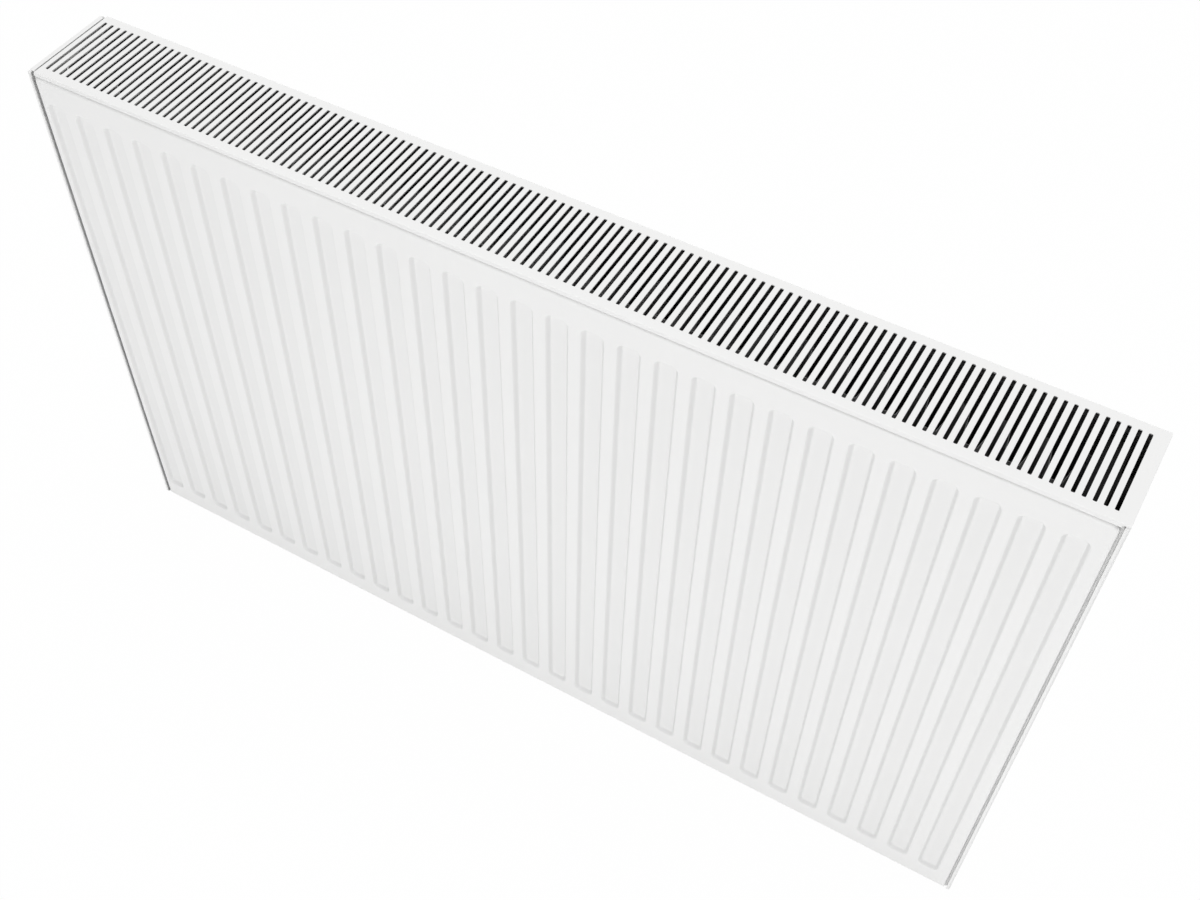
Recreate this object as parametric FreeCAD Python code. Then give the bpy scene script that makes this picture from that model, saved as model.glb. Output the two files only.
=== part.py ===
import FreeCAD, Part
import math
import os

from FreeCAD import Vector

# Double-panel, double-convector steel radiator (type 22), 600 mm high and 1000 mm long.
# X runs along the length, Y from the room side to the wall side, Z up.  Everything is built
# with the front face at y = 0, and moved to the centre of the base when it is written.

os.makedirs("parts", exist_ok=True)

# ---------------------------------------------------------------- driving dimensions, mm
overall_length = 1000.0      # over both side covers
overall_height = 602.6       # bottom seam to the top of the grille
body_depth = 99.2            # front face to rear face, without the hanging lugs

# water panels: two pressed sheets each, seam-welded all round and spot-welded in the grooves
panel_sheet = 1.2
groove_depth = 4.0
groove_pitch = 32.7
groove_offset = -2.6         # middle of the row of grooves from the middle of the radiator
groove_width = 21.3          # rim to rim
groove_wall_run = 3.2        # width of one sloping wall
groove_corner = 7.0          # corner radius at the rim
corner_flat_count = 2        # flats that draw one round corner of a groove on the room side
bottom_header = 22.9         # flat water way below the grooves
top_header = 26.5            # the same above them
tee_land = 20.0              # the end grooves of the inner sheets stop this much shorter
seam_width = 3.0             # welded rim that stands out round the face
seam_corner = 9.0
face_edge_radius = 2.5

# convectors: folded sheet, one foot on each rib between two grooves
convector_sheet = 0.4
convector_gap = 4.2          # between the crests of the two convectors
convector_foot = 8.0
convector_crest = 12.0
convector_end_gap = 42.0     # from the top and the bottom of the radiator

# connection tees: a round boss with a G1/2 tapping on a box section between the panels
tapping_height = 27.0        # tapping axis above the bottom, and below the top
tapping_recess = 4.85        # its mouth lies this far inside the end of the face
thread_radius = 9.315        # minor radius of G1/2
thread_length = 15.0
tee_boss_radius = 14.0
tee_boss_length = 10.0
tee_box_length = 20.0
tee_box_height = 24.0
tee_wall = 3.0
water_way_height = 16.0

# hanging lugs: a strip bent into a hook that is open at the bottom
lug_strip = 2.5
lug_bend = 1.0               # inner bend radius
lug_pocket = 9.0
lug_width = 42.0
lug_pad_height = 55.0
lug_pocket_depth = 30.0
lug_level = 70.0             # top of a hook from the nearer end of the panel
lug_groove = 4               # counted in from the end groove

# top grille
grille_sheet = 1.0
grille_bend = 1.6            # outer bend radius of the long edges
grille_lip_gap = 0.6         # between its lip and the panel's face edge
grille_joint = 2.9           # open joint between its left end and the left cover
grille_end_inset = 0.2       # from its right end, which lies on the cover, to the cover's outside
slot_pitch = 7.837
slot_offset = 0.5            # middle of the row of slots from the middle of the radiator
slot_width = 3.1
slot_front_border = 10.4     # from a slot's end to the long edge
slot_back_border = 9.9
slot_end_border = 1.2        # from the outermost pitch to the grille's left end
grille_tab_length = 20.0
grille_tab_count = 4         # on each long side

# side covers
cover_sheet = 1.0
cover_return = 3.4           # folded edge, seen from the front
cover_top_return = 5.6       # the same, seen from above
cover_edge_bevel = 1.2
side_gap = 2.75              # open joint between the face and the cover
cover_corner = 3.5           # corner radius seen from the side
cover_floor_gap = 1.0
cover_hole_radius = 17.0
clip_height = 16.0
clip_count = 3               # on each seam

# plugs in the top tappings
thread_clearance = 0.06
plug_thread = 11.0
flange_across_flats = 24.0
plug_flange = 2.4
seal_thickness = 1.6         # squeezed between flange and tapping
seal_radius = 12.4
socket_across_flats = 10.0
socket_depth = 7.0
vent_neck_radius = 6.0
vent_neck = 2.4
vent_bore_depth = 12.0
vent_passage_radius = 1.5
vent_port = 1.6              # width and depth of the outlet slot
ring_outer_radius = 9.5
running_gap = 0.05           # radial, on the outlet ring and the bleed screw
axial_gap = 0.1
screw_radius = 3.6
screw_square = 5.0
screw_square_length = 4.0
screw_proud = 0.4            # out of the neck

fit_gap = 0.3                # clip-on pieces to what they grip
overshoot = 1.0              # how far a cutting block runs past the sheet
same_place = 1e-6            # two levels closer than this are the same

# ---------------------------------------------------------------- worked-out places
seat_height = overall_height - grille_sheet          # top of the seams, where the grille rests
face_bottom = seam_width
face_top = seat_height - seam_width
face_half = overall_length / 2 - cover_return - side_gap
panel_thickness = 2 * (groove_depth + panel_sheet)
mid_depth = body_depth / 2
inner_face = panel_thickness
convector_depth = mid_depth - inner_face - convector_gap / 2
groove_count = int(2 * face_half // groove_pitch)
groove_low = face_bottom + bottom_header
groove_high = face_top - top_header
tapping_levels = {"bottom": tapping_height, "top": overall_height - tapping_height}
mouth = face_half - tapping_recess                   # face of the tappings
tee_box_end = mouth - tee_boss_length
tee_box_start = tee_box_end - tee_box_length
water_way = (tee_box_start + tee_wall, mouth - thread_length)
flange_start = mouth + seal_thickness
neck_start = flange_start + plug_flange
neck_end = neck_start + vent_neck
groove_centres = [groove_offset + (i - (groove_count - 1) / 2) * groove_pitch
                  for i in range(groove_count)]
lug_reach = 2 * lug_strip + lug_pocket
cover_top = seat_height - fit_gap
cover_face = overall_length / 2
grille_ends = (cover_top_return + grille_joint - cover_face, cover_face - grille_end_inset)
slot_count = int(-2 * (grille_ends[0] + slot_end_border) // slot_pitch)
seam_inner = groove_depth + 2 * panel_sheet          # inside of the front seam
to_frame = Vector(0, -(body_depth + lug_reach) / 2, 0)

X = Vector(1, 0, 0)
Y = Vector(0, 1, 0)
Z = Vector(0, 0, 1)


# ---------------------------------------------------------------- helpers
def box(x, y, z):
    """A box from its three (low, high) pairs."""
    return Part.makeBox(x[1] - x[0], y[1] - y[0], z[1] - z[0], Vector(x[0], y[0], z[0]))


def prism(points, direction):
    """A closed polygon pushed along a direction."""
    return Part.Face(Part.makePolygon(points + points[:1])).extrude(direction)


def rod(radius, start, end, y, z):
    """A cylinder along X between two stations."""
    return Part.makeCylinder(radius, end - start, Vector(start, y, z), X)


def merged(first, others):
    return first.fuse(others).removeSplitter()


def at_each(shape, places):
    """One copy of a shape at each place, as one compound."""
    return Part.makeCompound([shape.translated(place) for place in places])


def mirrored_x(shape):
    return shape.mirror(Vector(0, 0, 0), X)


def to_wall_side(shape):
    return shape.mirror(Vector(0, mid_depth, 0), Y)


def write(name, shape):
    placed = shape.translated(to_frame)
    placed.exportStep(os.path.join("parts", name + ".step"))


# ---------------------------------------------------------------- water panels
def groove_outline(inset, low, high, flats, depth):
    """A groove's outline at one depth, with its round corners drawn by a few flats.

    With no flats the corners are plain.
    """
    radius = groove_corner if flats else inset
    points = []
    for quarter in range(4):
        centre_x = (groove_width / 2 - radius) * (1 if quarter in (0, 3) else -1)
        centre_z = high - radius if quarter in (0, 1) else low + radius
        steps = [step / flats for step in range(flats + 1)] if flats else [0.5]
        reach = radius - inset if flats else 0
        for step in steps:
            angle = math.pi / 2 * (quarter + step)
            points.append(Vector(centre_x + reach * math.cos(angle), depth,
                                 centre_z + reach * math.sin(angle)))
    return points + points[:1]


def groove(low, high, flats):
    """A groove's hollow: rim at y = 0, sloping walls, floor at the groove depth."""
    rim = groove_outline(0, low, high, flats, 0)
    floor = groove_outline(groove_wall_run, low, high, flats, groove_depth)
    faces = [Part.Face(Part.makePolygon(rim)), Part.Face(Part.makePolygon(floor))]
    for i in range(len(rim) - 1):
        wall = [rim[i], rim[i + 1], floor[i + 1], floor[i], rim[i]]
        faces.append(Part.Face(Part.makePolygon(wall)))
    return Part.Solid(Part.Shell(faces))


def tray(inset, radius, low, high, bend):
    """The face as a solid block with bent front edges, set in by a sheet's thickness."""
    block = box((-face_half + inset, face_half - inset), (low, high),
                (face_bottom + inset, face_top - inset))
    front = [e for e in block.Edges if all(abs(v.Y - low) < same_place for v in e.Vertexes)]
    return bend(block, radius, front)


def seam_plate():
    """The welded rim, with round corners."""
    half = face_half + seam_width
    plate = box((-half, half), (groove_depth, groove_depth + panel_sheet),
                (face_bottom - seam_width, face_top + seam_width))
    corners = [e for e in plate.Edges if abs(e.BoundBox.YLength - panel_sheet) < same_place]
    return plate.makeFillet(seam_corner, corners)


def pressed_sheet(end_land, flats, bend):
    """One sheet of a water panel: face at y = 0, grooves down to the weld plane.

    The end grooves stop short by end_land.  The backs of the grooves have plain corners.
    """
    weld_plane = groove_depth + panel_sheet
    outside = tray(0, face_edge_radius, 0, groove_depth + panel_sheet / 2, bend)
    inside = tray(panel_sheet, face_edge_radius - panel_sheet, panel_sheet, weld_plane + overshoot, bend)
    shell = merged(outside, [seam_plate()]).cut(inside)
    middle = [X * x for x in groove_centres[1:-1]]
    ends = [X * groove_centres[0], X * groove_centres[-1]]
    high = groove_high - end_land
    low = groove_low + end_land
    backs = [at_each(groove(groove_low, groove_high, 0), middle),
             at_each(groove(low, high, 0), ends)]
    hollows = [at_each(groove(groove_low, groove_high, flats), middle),
               at_each(groove(low, high, flats), ends)]
    shell = shell.fuse([back.translated(Y * panel_sheet) for back in backs])
    return shell.cut(hollows).removeSplitter()


def outer_sheet(flats):
    return pressed_sheet(0, flats, Part.Shape.makeFillet)


def inner_sheet():
    """The sheet that faces the convectors, with the four water holes to the tees."""
    sheet = pressed_sheet(tee_land, 0, Part.Shape.makeChamfer)
    holes = []
    for level in tapping_levels.values():
        hole = box(water_way, (-panel_sheet, 2 * panel_sheet),
                   (level - water_way_height / 2, level + water_way_height / 2))
        holes += [hole, mirrored_x(hole)]
    return sheet.cut(holes).mirror(Vector(0, groove_depth + panel_sheet, 0), Y)


# ---------------------------------------------------------------- convectors
def convector():
    """A folded sheet that stands on the ribs of the front panel's inner sheet."""
    run = (groove_pitch - convector_foot - convector_crest) / 2
    foot = inner_face + convector_sheet / 2
    crest = foot + convector_depth - convector_sheet
    ribs = [(a + b) / 2 for a, b in zip(groove_centres, groove_centres[1:])]
    points = []
    for rib in ribs:
        points.append(Vector(rib - convector_foot / 2, foot, convector_end_gap))
        points.append(Vector(rib + convector_foot / 2, foot, convector_end_gap))
        if rib is not ribs[-1]:
            edge = rib + convector_foot / 2 + run
            points.append(Vector(edge, crest, convector_end_gap))
            points.append(Vector(edge + convector_crest, crest, convector_end_gap))
    sheet = Part.Face(Part.makePolygon(folded_outline(points, convector_sheet)))
    return sheet.extrude(Z * (overall_height - 2 * convector_end_gap))


def folded_outline(points, thickness):
    """The closed outline of a sheet of even thickness folded along a line of points."""
    left = []
    right = []
    for i, point in enumerate(points):
        before = (point - points[i - 1]).normalize() if i else None
        after = (points[i + 1] - point).normalize() if i + 1 < len(points) else before
        before = before or after
        bisector = (before + after).normalize()
        normal = Vector(-bisector.y, bisector.x, 0)
        reach = thickness / 2 / (bisector.dot(after))
        left.append(point + normal * reach)
        right.append(point - normal * reach)
    outline = left + right[::-1]
    return outline + outline[:1]


# ---------------------------------------------------------------- connections
def tee(level):
    """The right-hand connection piece between the two panels, its tapping facing +X."""
    boss = rod(tee_boss_radius, tee_box_end, mouth, mid_depth, level)
    span = (inner_face, body_depth - inner_face)
    section = box((tee_box_start, tee_box_end), span,
                  (level - tee_box_height / 2, level + tee_box_height / 2))
    passage = box(water_way, span, (level - water_way_height / 2, level + water_way_height / 2))
    thread = rod(thread_radius, mouth - thread_length, mouth, mid_depth, level)
    return merged(section, [boss]).cut([passage, thread])


def hanging_lug(x, level):
    """A hook on the back of the rear panel: up the panel, out, and down again."""
    back = body_depth
    tip = level - lug_strip - lug_pocket_depth
    side = x - lug_width / 2
    strip = box((side, side + lug_width), (back, back + lug_reach),
                (level - lug_pad_height, level))
    pocket = box((side, side + lug_width), (back + lug_strip, back + lug_strip + lug_pocket),
                 (level - lug_pad_height, level - lug_strip))
    below_tip = box((side, side + lug_width), (back + lug_strip, back + lug_reach),
                    (level - lug_pad_height, tip))

    def upper_bends(shape):
        top = shape.BoundBox.ZMax
        return [e for e in shape.Edges if e.BoundBox.XLength > lug_width / 2
                and all(abs(v.Z - top) < same_place for v in e.Vertexes)]

    strip = strip.makeFillet(lug_bend + lug_strip, upper_bends(strip))
    return strip.cut([pocket.makeFillet(lug_bend, upper_bends(pocket)), below_tip])


# ---------------------------------------------------------------- casing
def grille_blank():
    """The folded sheet before punching: flat top, two rounded long edges, two lips.

    At the right end only the top goes on over the folded edge of the side cover.
    """
    lip = face_top + grille_lip_gap
    outside = box(grille_ends, (0, body_depth), (lip, overall_height))
    inside = box(grille_ends, (grille_sheet, body_depth - grille_sheet), (lip, seat_height))
    over_cover = box((cover_face - cover_top_return - fit_gap, cover_face), (0, body_depth),
                     (lip, seat_height))

    def long_top_edges(shape, top):
        return [e for e in shape.Edges if e.BoundBox.XLength > face_half
                and all(abs(v.Z - top) < same_place for v in e.Vertexes)]

    outside = outside.makeFillet(grille_bend, long_top_edges(outside, overall_height))
    inner_bend = grille_bend - grille_sheet
    inside = inside.makeFillet(inner_bend, long_top_edges(inside, seat_height))
    return outside.cut([inside, over_cover])


def top_grille():
    slot = box((-slot_width / 2, slot_width / 2), (slot_front_border, body_depth - slot_back_border),
               (seat_height - overshoot, overall_height + overshoot))
    centres = [slot_offset + (i - (slot_count - 1) / 2) * slot_pitch for i in range(slot_count)]
    grille = grille_blank().cut(at_each(slot, [X * x for x in centres]))
    tab = box((-grille_tab_length / 2, grille_tab_length / 2),
              (seam_inner + fit_gap, seam_inner + fit_gap + grille_sheet),
              (face_top + grille_lip_gap, seat_height))
    spacing = 2 * face_half / grille_tab_count
    places = [X * ((i - (grille_tab_count - 1) / 2) * spacing) for i in range(grille_tab_count)]
    front_tabs = at_each(tab, places)
    return merged(grille, [front_tabs, to_wall_side(front_tabs)])


def side_cover():
    """The right-hand cover: a shallow tray with holes for the tappings and clips."""
    block = box((cover_face - cover_return, cover_face), (0, body_depth),
                (cover_floor_gap, cover_top))
    profile = [e for e in block.Edges if e.BoundBox.XLength > cover_return / 2]
    rim = [e for e in block.Edges if e.BoundBox.XMin > cover_face - cover_return / 2]
    plate = block.makeFillet(cover_corner, profile)
    plate = plate.common(block.makeChamfer(cover_edge_bevel, rim))
    hollow = box((cover_face - cover_return, cover_face - cover_sheet),
                 (cover_sheet, body_depth - cover_sheet),
                 (cover_floor_gap + cover_sheet, cover_top - cover_sheet))
    profile = [e for e in hollow.Edges if e.BoundBox.XLength > cover_sheet / 2]
    hollow = hollow.makeFillet(cover_corner - cover_sheet, profile)
    top_edge = box((cover_face - cover_top_return, cover_face - cover_sheet),
                   (cover_corner, body_depth - cover_corner), (cover_top - cover_sheet, cover_top))
    cover = merged(plate.cut(hollow), [top_edge] + cover_clips())
    holes = [rod(cover_hole_radius, cover_face - cover_return, cover_face + overshoot, mid_depth,
                 level) for level in tapping_levels.values()]
    return cover.cut(holes)


def cover_clips():
    """Tongues that press outwards against the insides of the two seams."""
    clips = []
    for i in range(clip_count):
        level = overall_height * (i + 1) / (clip_count + 1)
        clip = box((face_half + fit_gap, cover_face - cover_sheet),
                   (seam_inner + fit_gap, seam_inner + fit_gap + cover_sheet),
                   (level - clip_height / 2, level + clip_height / 2))
        clips += [clip, to_wall_side(clip)]
    return clips


# ---------------------------------------------------------------- plugs
def hexagon(across_flats, start, end, level):
    """A hexagonal bar along X on the axis of a top tapping."""
    reach = across_flats / math.sqrt(3)
    corners = []
    for side in range(6):
        angle = math.pi / 3 * side
        corners.append(Vector(start, mid_depth + reach * math.cos(angle),
                              level + reach * math.sin(angle)))
    return prism(corners, X * (end - start))


def plug_body(level):
    """Thread and hexagonal flange, with room for the seal between flange and tapping."""
    thread = rod(thread_radius - thread_clearance, mouth - plug_thread, flange_start, mid_depth,
                 level)
    return merged(thread, [hexagon(flange_across_flats, flange_start, neck_start, level)])


def seal(level):
    """The sealing ring as it lies squeezed between the flange and the tapping's face."""
    outer = rod(seal_radius, mouth, flange_start, mid_depth, level)
    inner = rod(thread_radius, mouth, flange_start, mid_depth, level)
    return outer.cut(inner)


def blanking_plug(level):
    """Closed plug with a hexagon socket."""
    socket = hexagon(socket_across_flats, neck_start - socket_depth, neck_start, level)
    return plug_body(level).cut(socket)


def outlet_port(level):
    """The way out for the air: a slot in the end of the neck and the ring, downwards."""
    return box((neck_end - vent_port, neck_end),
               (mid_depth - vent_port / 2, mid_depth + vent_port / 2),
               (level - flange_across_flats, level))


def vent_plug(level):
    """Plug with a neck for the outlet ring and a bore for the bleed screw."""
    neck = rod(vent_neck_radius, neck_start, neck_end, mid_depth, level)
    bore = rod(screw_radius + running_gap, neck_end - vent_bore_depth, neck_end, mid_depth, level)
    passage = rod(vent_passage_radius, mouth - plug_thread, neck_end - vent_bore_depth,
                  mid_depth, level)
    return merged(plug_body(level), [neck]).cut([bore, passage, outlet_port(level)])


def outlet_ring(level):
    """Ring that turns on the neck, with the outlet at the bottom."""
    start = neck_start + axial_gap
    ring = rod(ring_outer_radius, start, neck_end, mid_depth, level)
    bore = rod(vent_neck_radius + running_gap, start, neck_end, mid_depth, level)
    return ring.cut([bore, outlet_port(level)])


def bleed_screw(level):
    """Screw that closes the passage with its end, with a square for the key."""
    square_end = neck_end + screw_proud
    square_start = square_end - screw_square_length
    shank = rod(screw_radius, neck_end - vent_bore_depth + axial_gap, square_start, mid_depth,
                level)
    half = screw_square / 2
    square = box((square_start, square_end), (mid_depth - half, mid_depth + half),
                 (level - half, level + half))
    return merged(shank, [square])


# ---------------------------------------------------------------- assembly
def main():
    front_inner = inner_sheet()
    write("front_outer_sheet", outer_sheet(corner_flat_count))
    write("front_inner_sheet", front_inner)
    write("rear_inner_sheet", to_wall_side(front_inner))
    write("rear_outer_sheet", to_wall_side(outer_sheet(0)))

    folded = convector()
    write("front_convector", folded)
    write("rear_convector", to_wall_side(folded))

    for row, level in tapping_levels.items():
        write(row + "_tees", Part.makeCompound([tee(level), mirrored_x(tee(level))]))

    lug_places = {"left": groove_centres[lug_groove], "right": groove_centres[-1 - lug_groove]}
    lug_levels = {"upper": overall_height - lug_level, "lower": lug_level + lug_pad_height}
    for row, level in lug_levels.items():
        for side, x in lug_places.items():
            write(row + "_" + side + "_hanging_lug", hanging_lug(x, level))

    write("top_grille", top_grille())
    cover = side_cover()
    write("right_side_cover", cover)
    write("left_side_cover", mirrored_x(cover))

    top = tapping_levels["top"]
    write("blanking_plug", blanking_plug(top))
    write("vent_plug", mirrored_x(vent_plug(top)))
    write("plug_seals", Part.makeCompound([seal(top), mirrored_x(seal(top))]))
    write("vent_outlet_ring", mirrored_x(outlet_ring(top)))
    write("bleed_screw", mirrored_x(bleed_screw(top)))


main()
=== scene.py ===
import math

import bmesh
import bpy
from mathutils import Matrix, Vector


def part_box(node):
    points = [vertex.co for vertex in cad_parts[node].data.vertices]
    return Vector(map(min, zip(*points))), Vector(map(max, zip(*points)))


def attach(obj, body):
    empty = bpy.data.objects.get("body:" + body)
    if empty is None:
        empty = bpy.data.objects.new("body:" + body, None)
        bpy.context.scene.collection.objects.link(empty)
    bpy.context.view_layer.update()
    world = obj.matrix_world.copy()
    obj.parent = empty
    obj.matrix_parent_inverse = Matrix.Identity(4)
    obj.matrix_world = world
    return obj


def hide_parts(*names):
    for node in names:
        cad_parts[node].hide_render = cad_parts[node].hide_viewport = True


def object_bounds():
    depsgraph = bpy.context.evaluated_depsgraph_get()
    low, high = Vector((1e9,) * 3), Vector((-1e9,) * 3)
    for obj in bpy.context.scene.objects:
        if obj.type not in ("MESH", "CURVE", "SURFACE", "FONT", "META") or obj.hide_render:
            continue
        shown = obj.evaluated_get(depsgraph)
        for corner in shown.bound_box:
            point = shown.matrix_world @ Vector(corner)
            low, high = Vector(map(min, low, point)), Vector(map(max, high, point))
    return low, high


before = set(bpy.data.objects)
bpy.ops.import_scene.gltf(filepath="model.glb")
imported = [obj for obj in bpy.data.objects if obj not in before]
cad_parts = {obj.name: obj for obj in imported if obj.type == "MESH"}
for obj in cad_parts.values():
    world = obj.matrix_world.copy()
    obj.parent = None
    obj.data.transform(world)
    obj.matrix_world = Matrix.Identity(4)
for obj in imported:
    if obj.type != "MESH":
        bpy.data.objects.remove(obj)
cad_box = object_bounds()

# Double-panel steel radiator, white powder coat.  Metres, +X along the length, +Y to the wall.

# ---------------------------------------------------------------- sizes, m
mm = 0.001
same_place = 1e-9              # places, corners and lines this near to each other are one
same_corner = 0.001 * mm
same_line = 0.01 * mm

# Outer sheets of the water panels: upright grooves in a raised face, and a welded rim round it.
panel_sheet = 1.2 * mm
groove_count = 30
groove_pitch = 32.7 * mm
groove_offset = -2.6 * mm      # middle of the row of grooves, from the middle of the sheet
groove_half_width = 10.65 * mm
groove_corner = 7.0 * mm
groove_depth = 4.0 * mm
groove_wall_run = 3.2 * mm     # how far in a groove's wall reaches on its way down
groove_wall_rounding = 0.3     # share of that run over which each end of the wall is rounded
bottom_header = 22.9 * mm      # plain face between the rim and the grooves
top_header = 26.5 * mm
seam_width = 3.0 * mm          # the rim as the headers count it

# The rim's own width on each side, and the radius of the rolled edge from there to the face.
bottom_edge = (3.0 * mm, 2.5 * mm)
top_edge = (3.2 * mm, 3.7 * mm)
left_edge = (3.3 * mm, 2.6 * mm)
right_edge = (2.6 * mm, 1.5 * mm)
top_seam_corner = 9.0 * mm     # clears the folded edge of the side cover
bottom_seam_corner = 4.0 * mm
least_seam_corner = 1.5 * mm   # of the rings inside the rim

# Where the sheet's mesh has lines: in from a groove's rim, in from the rolled edge, and, as
# shares of its radius, over the rolled edge.
wall_stations = [d * mm for d in (-0.6, -0.2, 0.1, 0.5, 1, 1.6, 2.2, 2.7, 3.1, 3.4, 3.9)]
stations_across = wall_stations + [6.5 * mm]
stations_down = wall_stations + [5.0 * mm, 6.2 * mm, 7.5 * mm]
face_stations = [1.0 * mm, 3.0 * mm, 6.0 * mm]
roll_shares = (0.01, 0.05, 0.13, 0.25, 0.4, 0.6, 0.8, 1.0)

# Punched slots of the top grille.
slot_count = 125
slot_pitch = 7.837 * mm
slot_offset = 0.5 * mm         # middle of the row of slots, from the middle of the grille
slot_front_border = 10.4 * mm
slot_back_border = 9.9 * mm
slot_half_width = 1.6 * mm
slot_shift = 0.2 * mm          # to the right of the slots in the CAD node
slot_reach = 0.5 * mm          # and how much farther each of their ends goes
slot_corner = 0.9 * mm
slot_corner_facets = 4
round_profile = 0.5            # gives a bevel a round section
sharp_angle = math.radians(30)

# Funnel in the top hole of a side cover.  Its outline is given as radius and depth in mm, with
# the depth from the outside of the cover or, at the tip, from the tip.
funnel_mouth = ((17.3, 0.3), (16.6, 0.45), (16.0, 0.75))
funnel_tip = ((10.4, -0.3), (9.95, -0.1), (9.95, 0), (10.3, 0.1), (10.8, 0))
funnel_back = ((16.4, 1.35), (17.3, 0.9))
funnel_gap = 0.3 * mm          # between the left funnel's tip and the outlet ring
funnel_facets = 72

# ---------------------------------------------------------------- places from the frame
front_low, front_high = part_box("front_outer_sheet")
rear_low, rear_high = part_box("rear_outer_sheet")
ring_low, ring_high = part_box("vent_outlet_ring")
grille_low, grille_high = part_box("top_grille")


# ---------------------------------------------------------------- materials
powder_white = (0.86, 0.86, 0.856)
# Painted shade in the grooves: the panels' white is mixed towards this grey by a mesh attribute.
groove_shade_grey = (0.30, 0.30, 0.30)
groove_shade_attribute = "painted_groove_shade"
floor_painted_shade = 0.07          # painted shade: share by which a groove's floor is darkened towards that grey
wall_painted_shade = 0.09           # and by which its wall is darkened besides, halfway down

cloud_scale = 9.0              # unevenness of tone in the paint
cloud_detail = 3.0
cloud_low = 0.35
cloud_high = 0.65
peel_scale = 700.0             # orange peel of baked powder
peel_height = 0.2 * mm
mark_scale = 2500.0            # turning marks in metal
mark_height = 0.1 * mm
mark_strength = 0.15


def grey(value):
    return (value, value, value)


def new_material(name):
    material = bpy.data.materials.new(name)
    material.use_nodes = True
    nodes = material.node_tree.nodes
    return material, nodes, material.node_tree.links, nodes["Principled BSDF"]


def noise_texture(nodes, links, scale):
    """Noise over the object's own metres."""
    where = nodes.new("ShaderNodeTexCoord")
    noise = nodes.new("ShaderNodeTexNoise")
    noise.inputs["Scale"].default_value = scale
    links.new(where.outputs["Object"], noise.inputs["Vector"])
    return noise


def fine_relief(nodes, links, shader, scale, height, strength):
    """Gives a shader the fine relief of its surface."""
    grain = noise_texture(nodes, links, scale)
    bump = nodes.new("ShaderNodeBump")
    bump.inputs["Strength"].default_value = strength
    bump.inputs["Distance"].default_value = height
    links.new(grain.outputs["Fac"], bump.inputs["Height"])
    links.new(bump.outputs["Normal"], shader.inputs["Normal"])


def powder_coat(name, colour, spread, roughness, peel, gloss=0.5, groove_shade=False):
    """Baked powder paint: a very fine orange peel and faint unevenness of tone.

    With painted shade, a mesh attribute mixes the colour towards a grey, 0 for none and 1 for all
    of it.
    """
    material, nodes, links, shader = new_material(name)
    tone = noise_texture(nodes, links, cloud_scale)
    tone.inputs["Detail"].default_value = cloud_detail
    ramp = nodes.new("ShaderNodeValToRGB")
    dark, light = ramp.color_ramp.elements
    dark.position = cloud_low
    light.position = cloud_high
    dark.color = tuple(c - spread for c in colour) + (1,)
    light.color = colour + (1,)
    links.new(tone.outputs["Fac"], ramp.inputs["Fac"])
    shown = ramp.outputs["Color"]
    # painted shade in the grooves, carried by a mesh attribute
    if groove_shade:
        shade_mask = nodes.new("ShaderNodeAttribute")
        shade_mask.attribute_name = groove_shade_attribute
        shade_mix = nodes.new("ShaderNodeMix")
        shade_mix.data_type = "RGBA"
        shade_mix.inputs["B"].default_value = groove_shade_grey + (1,)
        links.new(shade_mask.outputs["Fac"], shade_mix.inputs["Factor"])
        links.new(shown, shade_mix.inputs["A"])
        shown = shade_mix.outputs["Result"]
    links.new(shown, shader.inputs["Base Color"])
    fine_relief(nodes, links, shader, peel_scale, peel_height, peel)
    shader.inputs["Roughness"].default_value = roughness
    shader.inputs["Specular IOR Level"].default_value = gloss
    return material


def metal(name, colour, roughness):
    """Plated or turned metal with fine turning marks."""
    material, nodes, links, shader = new_material(name)
    fine_relief(nodes, links, shader, mark_scale, mark_height, mark_strength)
    shader.inputs["Base Color"].default_value = colour + (1,)
    shader.inputs["Metallic"].default_value = 1.0
    shader.inputs["Roughness"].default_value = roughness
    return material


white_paint = powder_coat("white_powder_coat", powder_white,
                          spread=0.006, roughness=0.32, peel=0.06)
# The panels' white, with painted shade in their grooves.
panel_paint_and_groove_shade = powder_coat("panel_powder_coat_and_painted_groove_shade", powder_white,
                          spread=0.006, roughness=0.42, peel=0.06, groove_shade=True)
# Painted shade: the inner sheets are near black so that the inside reads dark through the slots.
inner_painted_shade = powder_coat("inner_primer", grey(0.06),
                          spread=0.015, roughness=0.6, peel=0.2, gloss=0.3)
# Painted shade: the convectors are grey, darker than their white coat, for the shade inside the
# panels.
convector_grey_shade = powder_coat("convector_grey_painted_shade", grey(0.45),
                              spread=0.03, roughness=0.5, peel=0.2)
# Painted shade: the tees are near black so that they read as shade through the slots.
tee_painted_shade = powder_coat("tee_black_painted_shade", grey(0.02),
                        spread=0.005, roughness=0.6, peel=0.2, gloss=0.1)
white_plastic = powder_coat("white_moulded_plastic", (0.80, 0.80, 0.79),
                            spread=0.01, roughness=0.45, peel=0.02)
seal_rubber = powder_coat("seal_rubber", grey(0.03), spread=0.01, roughness=0.7, peel=0.3)
nickel = metal("nickel_plate", (0.74, 0.73, 0.70), roughness=0.22)
brass = metal("turned_brass", (0.80, 0.62, 0.32), roughness=0.25)

node_materials = {
    "front_inner_sheet": inner_painted_shade,
    "rear_inner_sheet": inner_painted_shade,
    "front_convector": convector_grey_shade,
    "rear_convector": convector_grey_shade,
    "top_tees": tee_painted_shade,
    "bottom_tees": tee_painted_shade,
    "vent_plug": nickel,
    "blanking_plug": nickel,
    "plug_seals": seal_rubber,
    "vent_outlet_ring": white_plastic,
    "bleed_screw": brass,
}
for node_name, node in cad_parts.items():
    material = node_materials.get(node_name, white_paint)
    for slot in node.material_slots:
        slot.material = material


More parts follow.
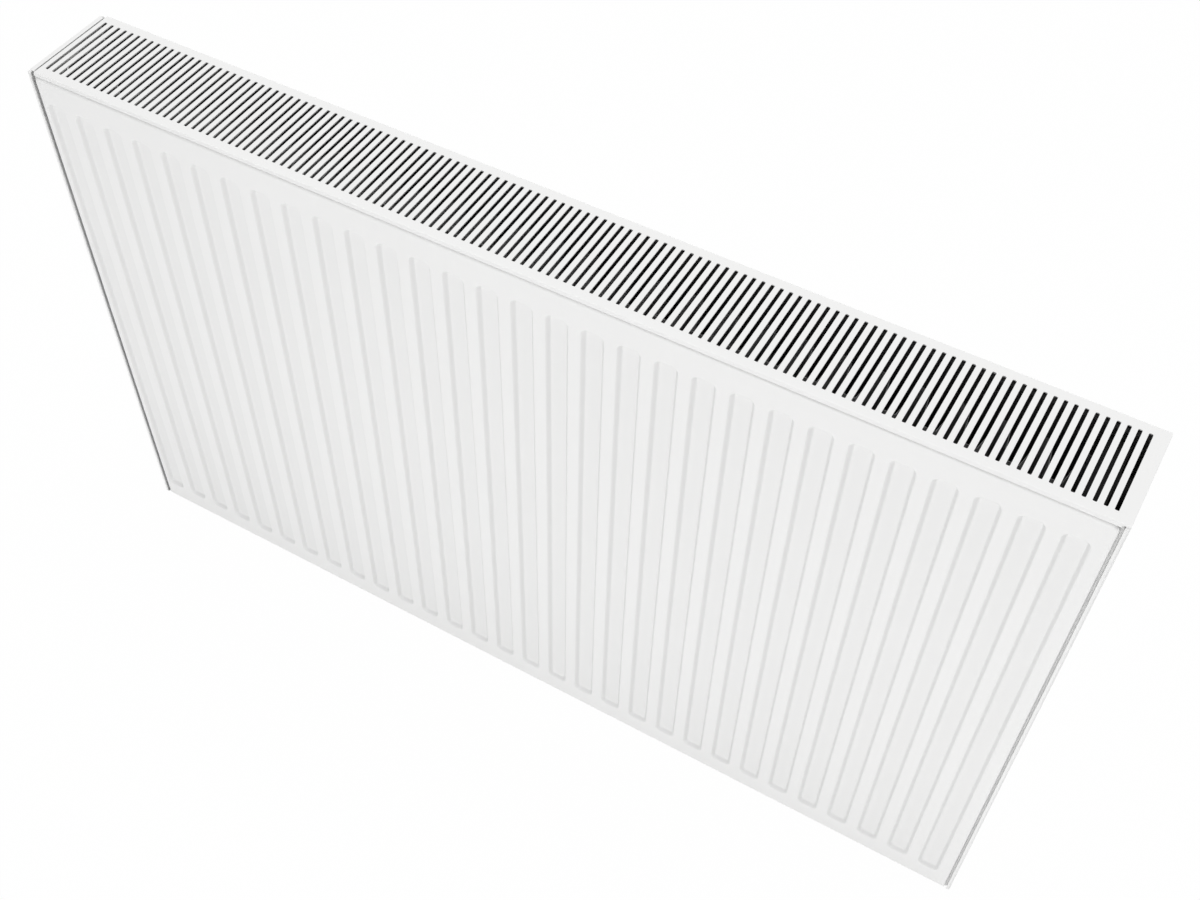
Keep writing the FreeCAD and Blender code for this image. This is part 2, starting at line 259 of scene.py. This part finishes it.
# ---------------------------------------------------------------- mesh helpers
def link_piece(name, mesh, material):
    """Puts a mesh into the scene as a piece of one material."""
    mesh.materials.append(material)
    piece = bpy.data.objects.new(name, mesh)
    bpy.context.scene.collection.objects.link(piece)
    return piece


def mesh_piece(name, vertices, faces, material, smooth=True):
    mesh = bpy.data.meshes.new(name)
    mesh.from_pydata(vertices, [], faces)
    mesh.validate()
    for polygon in mesh.polygons:
        polygon.use_smooth = smooth
    return link_piece(name, mesh, material)


def copy_of_node(node_name):
    """An editable copy of a CAD node's mesh, in its place."""
    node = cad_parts[node_name]
    copy = bmesh.new()
    copy.from_mesh(node.data)
    copy.transform(node.matrix_world)
    return copy


def edited_piece(name, edited, material):
    """A piece from such a copy."""
    mesh = bpy.data.meshes.new(name)
    edited.to_mesh(mesh)
    edited.free()
    return link_piece(name, mesh, material)


def apply_modifiers(piece):
    evaluated = piece.evaluated_get(bpy.context.evaluated_depsgraph_get())
    mesh = bpy.data.meshes.new_from_object(evaluated)
    piece.modifiers.clear()
    piece.data = mesh


# ---------------------------------------------------------------- pressed sheets
def soft_ramp(t, width):
    """A ramp from 0 to 1 over t = 0..1, with both ends rounded over a width."""
    def integral(x):
        if x <= 0:
            return 0.0
        return x * x / 2 if x < 1 else x - 0.5
    return (integral(t + width / 2) - integral(t - width / 2)) / width


def depth_in_groove(x, z, half_height):
    """Depth of a groove at a point measured from its centre."""
    over_x = abs(x) - (groove_half_width - groove_corner)
    over_z = abs(z) - (half_height - groove_corner)
    outside = math.hypot(max(over_x, 0), max(over_z, 0))
    inside = groove_corner - outside - min(max(over_x, over_z), 0)
    return groove_depth * soft_ramp(inside / groove_wall_run, groove_wall_rounding)


def edge_depth(distance, lip, radius):
    """Depth at a distance in from the outer edge: welded rim, rolled edge, face."""
    if distance <= lip + same_place:
        return groove_depth
    into_roll = lip + radius - distance
    if into_roll <= 0:
        return 0.0
    return radius - math.sqrt(radius ** 2 - into_roll ** 2)


def edge_stations(lip, radius):
    """Distances in from the outer edge at which the mesh has lines."""
    rim = [0, lip / 3, lip * 2 / 3, lip]
    roll = [lip + radius * share for share in roll_shares]
    return rim + roll + [lip + radius + d for d in face_stations]


def rounded_corner(u, v, seam_corner):
    """Moves a point near a corner, given by its distances from two sides, onto round rings."""
    ring = min(u, v)
    radius = max(seam_corner - ring, least_seam_corner)
    along = max(u, v) - ring
    if along >= radius:
        return u, v
    angle = math.pi / 4 * (1 - along / radius)
    near = ring + radius * (1 - math.cos(angle))
    far = ring + radius * (1 - math.sin(angle))
    return (near, far) if u < v else (far, near)


def pressed_sheet(name, low, high, side):
    """An outer sheet of a water panel; side is -1 for the room side and +1 for the wall."""
    half = (high.x - low.x) / 2
    face = low.y if side < 0 else high.y
    groove_low = low.z + seam_width + bottom_header
    groove_high = high.z - seam_width - top_header
    half_height = (groove_high - groove_low) / 2
    middle = (groove_high + groove_low) / 2
    centres = [groove_offset + (i - (groove_count - 1) / 2) * groove_pitch
               for i in range(groove_count)]

    columns = [-half + d for d in edge_stations(*left_edge)]
    columns += [half - d for d in edge_stations(*right_edge)]
    for centre in centres:
        columns += [centre - groove_half_width + d for d in stations_across]
        columns += [centre + groove_half_width - d for d in stations_across]
    columns.sort()
    rows = [low.z + d for d in edge_stations(*bottom_edge)]
    rows += [high.z - d for d in edge_stations(*top_edge)]
    rows += [groove_low + d for d in stations_down]
    rows += [groove_high - d for d in stations_down]
    rows.append(middle)
    rows.sort()

    vertices = []
    groove_shade = []
    for z in rows:
        below = z < middle
        end_edge = bottom_edge if below else top_edge
        seam_corner = bottom_seam_corner if below else top_seam_corner
        for x in columns:
            nearest = min(centres, key=lambda centre: abs(centre - x))
            depth = depth_in_groove(x - nearest, z - middle, half_height)
            # painted shade: the floor of a groove darkens, and its wall more
            share = depth / groove_depth
            groove_shade.append(floor_painted_shade * share + wall_painted_shade * 4 * share * (1 - share))
            u = half - abs(x)
            v = min(z - low.z, high.z - z)
            side_edge = left_edge if x < 0 else right_edge
            depth += max(edge_depth(u, *side_edge), edge_depth(v, *end_edge))
            u, v = rounded_corner(u, v, seam_corner)
            place_x = math.copysign(half - u, x)
            place_z = low.z + v if below else high.z - v
            vertices.append((place_x, face - side * depth, place_z))
    faces = []
    width = len(columns)
    for row in range(len(rows) - 1):
        for column in range(width - 1):
            corner = row * width + column
            face_loop = [corner, corner + 1, corner + width + 1, corner + width]
            faces.append(face_loop if side < 0 else face_loop[::-1])
    piece = mesh_piece(name, vertices, faces, panel_paint_and_groove_shade)
    painted_groove_shade = piece.data.attributes.new(groove_shade_attribute, "FLOAT", "POINT")
    painted_groove_shade.data.foreach_set("value", groove_shade)
    thickness = piece.modifiers.new("sheet", "SOLIDIFY")
    thickness.thickness = panel_sheet
    thickness.offset = -1
    apply_modifiers(piece)
    return piece


front_sheet = pressed_sheet("front_sheet", front_low, front_high, -1)
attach(front_sheet, "radiator")
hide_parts("front_outer_sheet")
rear_sheet = pressed_sheet("rear_sheet", rear_low, rear_high, 1)
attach(rear_sheet, "radiator")
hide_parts("rear_outer_sheet")


# ---------------------------------------------------------------- side covers
def funnel(outside, inward):
    """The drawn-in rim of a cover's top hole: it leads the key to the plug.

    It starts behind the outside of the cover, at x = outside, and goes inward, 1 or -1 along X.
    """
    tip = ring_low.x - cad_box[0][0] - funnel_gap
    stations = [(radius * mm, depth * mm) for radius, depth in funnel_mouth]
    stations += [(radius * mm, tip + depth * mm) for radius, depth in funnel_tip]
    stations += [(radius * mm, depth * mm) for radius, depth in funnel_back]
    centre = (ring_low + ring_high) / 2
    vertices = []
    faces = []
    for step in range(funnel_facets):
        angle = 2 * math.pi * step / funnel_facets
        for radius, depth in stations:
            vertices.append((outside + inward * depth, centre.y + radius * math.cos(angle),
                             centre.z + radius * math.sin(angle)))
    count = len(stations)
    for step in range(funnel_facets):
        here = step * count
        there = (step + 1) % funnel_facets * count
        for station in range(count):
            ahead = (station + 1) % count
            loop = [here + station, here + ahead, there + ahead, there + station]
            faces.append(loop if inward < 0 else loop[::-1])
    return vertices, faces


def side_cover(name, body, node_name):
    """A side cover with the funnel drawn into its top hole."""
    low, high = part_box(node_name)
    inward = 1 if low.x < 0 else -1
    vertices, faces = funnel(low.x if inward > 0 else high.x, inward)
    cover = copy_of_node(node_name)
    added = [cover.verts.new(vertex) for vertex in vertices]
    for loop in faces:
        face = cover.faces.new([added[i] for i in loop])
        face.smooth = True
    piece = edited_piece(name, cover, white_paint)
    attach(piece, body)
    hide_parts(node_name)


side_cover("left_cover_shell", "left_cover", "left_side_cover")
side_cover("right_cover_shell", "right_cover", "right_side_cover")


# ---------------------------------------------------------------- top grille
def rounded_slots(grille):
    """Gives the punched slots their full length and round corners."""
    front = grille_low.y + slot_front_border
    back = grille_high.y - slot_back_border
    corners = set()
    for vertex in grille.verts:
        place = vertex.co
        if min(abs(place.y - front), abs(place.y - back)) > same_line:
            continue
        index = round((place.x - slot_offset) / slot_pitch + (slot_count - 1) / 2)
        centre = slot_offset + (index - (slot_count - 1) / 2) * slot_pitch
        place.x = centre + slot_shift + math.copysign(slot_half_width, place.x - centre)
        place.y += math.copysign(slot_reach, place.y - (front + back) / 2)
        corners.add(vertex)
    upright = [edge for edge in grille.edges
               if corners.issuperset(edge.verts)
               and (edge.verts[0].co.xy - edge.verts[1].co.xy).length < same_line]
    bmesh.ops.bevel(grille, geom=upright, offset=slot_corner, offset_type="OFFSET",
                    segments=slot_corner_facets, profile=round_profile, affect="EDGES")


def punched_grille():
    """The folded top grille, smooth but for its edges."""
    grille = copy_of_node("top_grille")
    bmesh.ops.remove_doubles(grille, verts=grille.verts, dist=same_corner)
    rounded_slots(grille)
    for face in grille.faces:
        face.smooth = True
    for edge in grille.edges:
        edge.smooth = edge.calc_face_angle(math.pi) < sharp_angle
    piece = edited_piece("slotted_grille", grille, white_paint)
    old_normals = piece.data.attributes.get("custom_normal")
    if old_normals:
        piece.data.attributes.remove(old_normals)
    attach(piece, "grille")
    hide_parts("top_grille")


punched_grille()


# ---------------------------------------------------------------- floor and world
floor_reach = 4.0              # from the middle to each side
floor_drop = 1.0 * mm          # below the underside of the radiator
floor_grey = 0.72
floor_roughness = 0.9
floor_background = 0.99        # share of the background in it; the rest is lit and has the shadow
ambient_strength = 0.5
background_strength = 1.0      # white


def background_rays(nodes, links):
    """1 for the rays that show the background: seen directly, mirrored or through glass."""
    rays = nodes.new("ShaderNodeLightPath")
    shown = rays.outputs["Is Camera Ray"]
    for kind in ("Is Glossy Ray", "Is Transmission Ray"):
        either = nodes.new("ShaderNodeMath")
        either.operation = "MAXIMUM"
        links.new(shown, either.inputs[0])
        links.new(rays.outputs[kind], either.inputs[1])
        shown = either.outputs[0]
    return shown


def floor_material():
    """Pale studio floor: white where it shows, with a faint shadow kept."""
    material, nodes, links, shader = new_material("studio_floor")
    shader.inputs["Base Color"].default_value = grey(floor_grey) + (1,)
    shader.inputs["Roughness"].default_value = floor_roughness
    glow = nodes.new("ShaderNodeEmission")
    share = nodes.new("ShaderNodeMath")
    share.operation = "MULTIPLY"
    share.inputs[1].default_value = floor_background
    mix = nodes.new("ShaderNodeMixShader")
    links.new(background_rays(nodes, links), share.inputs[0])
    links.new(share.outputs[0], mix.inputs[0])
    links.new(shader.outputs[0], mix.inputs[1])
    links.new(glow.outputs[0], mix.inputs[2])
    links.new(mix.outputs[0], nodes["Material Output"].inputs["Surface"])
    return material


def studio_world():
    """Soft light from all round, and white where the world shows."""
    world = bpy.data.worlds.new("studio")
    world.use_nodes = True
    nodes = world.node_tree.nodes
    links = world.node_tree.links
    sky = nodes["Background"]
    sky.inputs["Color"].default_value = grey(1) + (1,)
    sky.inputs["Strength"].default_value = ambient_strength
    bright = nodes.new("ShaderNodeBackground")
    bright.inputs["Color"].default_value = grey(1) + (1,)
    bright.inputs["Strength"].default_value = background_strength
    mix = nodes.new("ShaderNodeMixShader")
    links.new(background_rays(nodes, links), mix.inputs[0])
    links.new(sky.outputs[0], mix.inputs[1])
    links.new(bright.outputs[0], mix.inputs[2])
    links.new(mix.outputs[0], nodes["World Output"].inputs["Surface"])
    return world


floor_corners = [(x * floor_reach, y * floor_reach, 0)
                 for x, y in ((-1, -1), (1, -1), (1, 1), (-1, 1))]
floor = mesh_piece("floor", floor_corners, [(0, 1, 2, 3)], floor_material(), smooth=False)
floor.location.z = -floor_drop
bpy.context.scene.world = studio_world()


# ---------------------------------------------------------------- lamps
def softbox(name, place, target, width, height, power):
    light = bpy.data.lights.new(name, "AREA")
    light.shape = "RECTANGLE"
    light.size = width
    light.size_y = height
    light.energy = power
    lamp = bpy.data.objects.new(name, light)
    lamp.location = place
    lamp.rotation_euler = (Vector(target) - Vector(place)).to_track_quat("-Z", "Y").to_euler()
    bpy.context.scene.collection.objects.link(lamp)


softbox("front", place=(0.5, -2.4, 0.28), target=(0.5, 0, 0.28),
        width=3.6, height=0.44, power=31.0)
softbox("top", place=(0.1, 0.9, 3.3), target=(0.1, 0, 0.6),
        width=5.2, height=1.0, power=64.0)

# ---------------------------------------------------------------- camera
camera_place = Vector((0.47533, -0.77957, 1.41344))
camera_heading = math.radians(30.584)
camera_tilt_down = math.radians(52.293)
picture_width = 36.0           # mm, as is the focal length of the lens
camera_lens = 44.853
camera_shift_x = 0.0349
camera_shift_y = 0.0486

camera_data = bpy.data.cameras.new("camera")
camera_data.sensor_width = picture_width
camera_data.lens = camera_lens
camera_data.shift_x = camera_shift_x
camera_data.shift_y = camera_shift_y
camera = bpy.data.objects.new("camera", camera_data)
camera.matrix_world = (Matrix.Translation(camera_place)
                       @ Matrix.Rotation(camera_heading, 4, "Z")
                       @ Matrix.Rotation(math.pi / 2 - camera_tilt_down, 4, "X"))
bpy.context.scene.collection.objects.link(camera)
bpy.context.scene.camera = camera
bpy.context.scene.view_settings.view_transform = "Standard"
